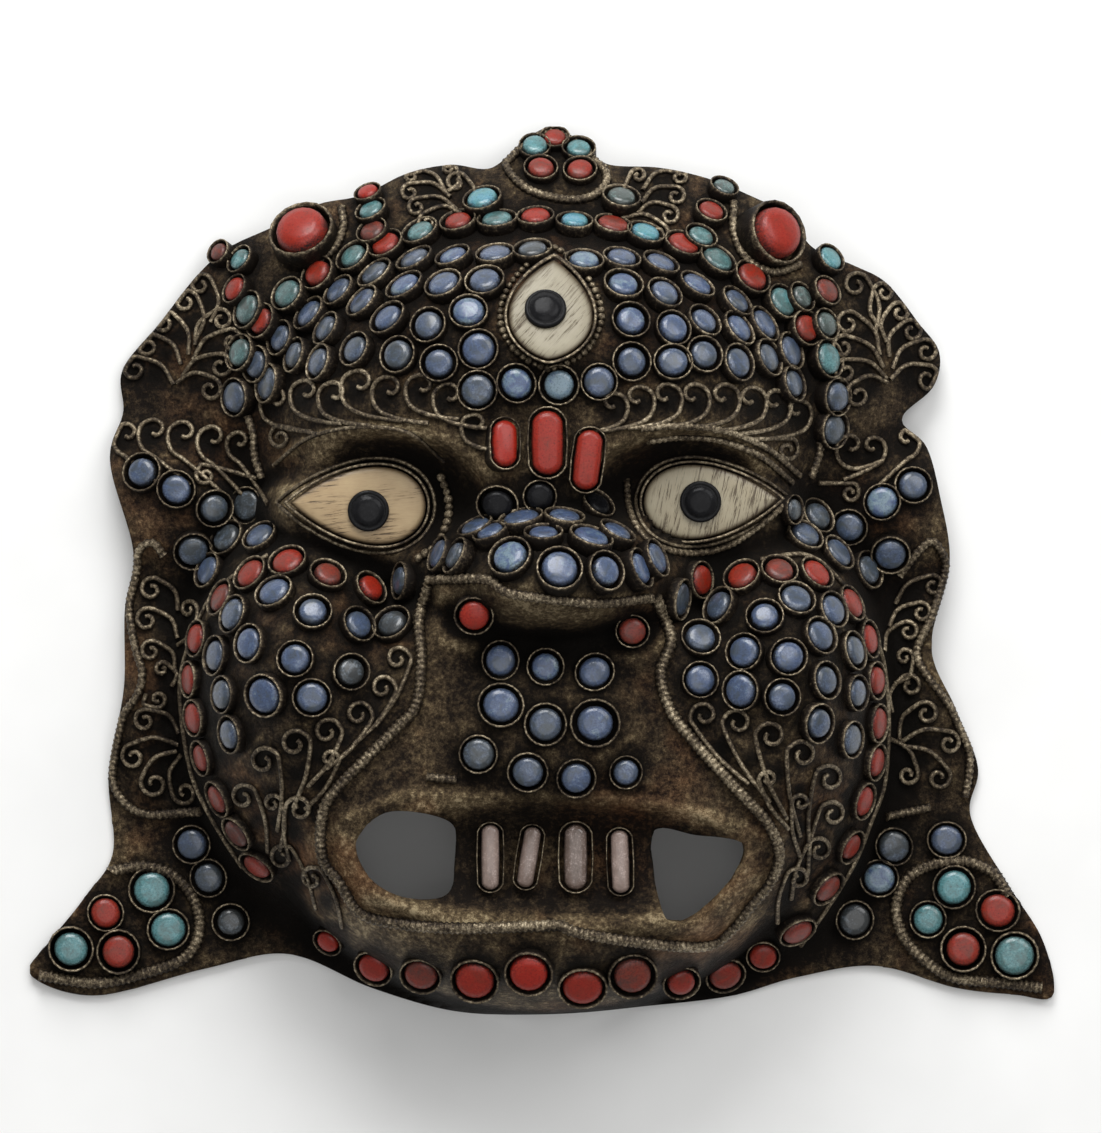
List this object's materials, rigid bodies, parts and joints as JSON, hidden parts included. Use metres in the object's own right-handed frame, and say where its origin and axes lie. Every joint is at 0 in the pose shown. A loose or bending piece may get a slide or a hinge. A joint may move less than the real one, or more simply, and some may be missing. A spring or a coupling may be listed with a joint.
{
  "type": "three-eyed brass face mask",
  "caption": "Hollow hammered brass face mask of a wrathful three-eyed figure, set with bone eyes and small blue, red and turquoise stones; it lies face up.",
  "frame": {"origin": "centre of the mask's box, on the surface that it lies on", "axes": "+Z out of the face, +Y towards the crown, +X to the viewer's right"},
  "size_m": [0.2074, 0.1796, 0.0648],
  "materials": {
    "brass": "dark brown patina with worn golden high spots",
    "lapis": "opaque polished blue stone",
    "coral": "opaque polished red stone",
    "turquoise": "opaque polished green-blue stone",
    "bone": "cream bone with fine dark scratches",
    "jet": "glossy black",
    "tooth": "worn pinkish grey bone"
  },
  "bodies": {
    "root": {"brow_coral_1": "coral", "brow_coral_2": "coral", "brow_coral_3": "coral", "chin_coral_1": "coral", "chin_coral_2": "coral", "chin_coral_3": "coral", "chin_coral_4": "coral", "chin_coral_5": "coral", "chin_coral_6": "coral", "chin_coral_7": "coral", "chin_coral_8": "coral", "crown_stone_1": "turquoise", "crown_stone_2": "turquoise", "crown_stone_lower_1": "coral", "crown_stone_lower_2": "coral", "crown_stone_top": "coral", "left_crown_coral": "coral", "left_eye": "bone", "left_pendant_outer_stone_1": "coral", "left_pendant_outer_stone_2": "coral", "left_pendant_outer_stone_3": "turquoise", "left_pendant_stone_1": "turquoise", "left_pendant_stone_2": "turquoise", "left_pupil": "jet", "lower_lip_lapis_1": "lapis", "lower_lip_lapis_2": "lapis", "lower_lip_lapis_3": "lapis", "lower_lip_lapis_4": "lapis", "mask_shell": "brass", "middle_lip_lapis_1": "lapis", "middle_lip_lapis_2": "lapis", "middle_lip_lapis_3": "lapis", "nose_lapis_1": "lapis", "nose_lapis_2": "lapis", "nose_lapis_3": "lapis", "nostril_coral_1": "coral", "nostril_coral_2": "coral", "right_crown_coral": "coral", "right_eye": "bone", "right_pendant_outer_stone_1": "coral", "right_pendant_outer_stone_2": "coral", "right_pendant_outer_stone_3": "turquoise", "right_pendant_stone_1": "turquoise", "right_pendant_stone_2": "turquoise", "right_pupil": "jet", "third_eye": "bone", "third_pupil": "jet", "tooth_1": "tooth", "tooth_2": "tooth", "tooth_3": "tooth", "tooth_4": "tooth", "upper_lip_lapis_1": "lapis", "upper_lip_lapis_2": "lapis", "upper_lip_lapis_3": "lapis"}
  },
  "joints": []
}
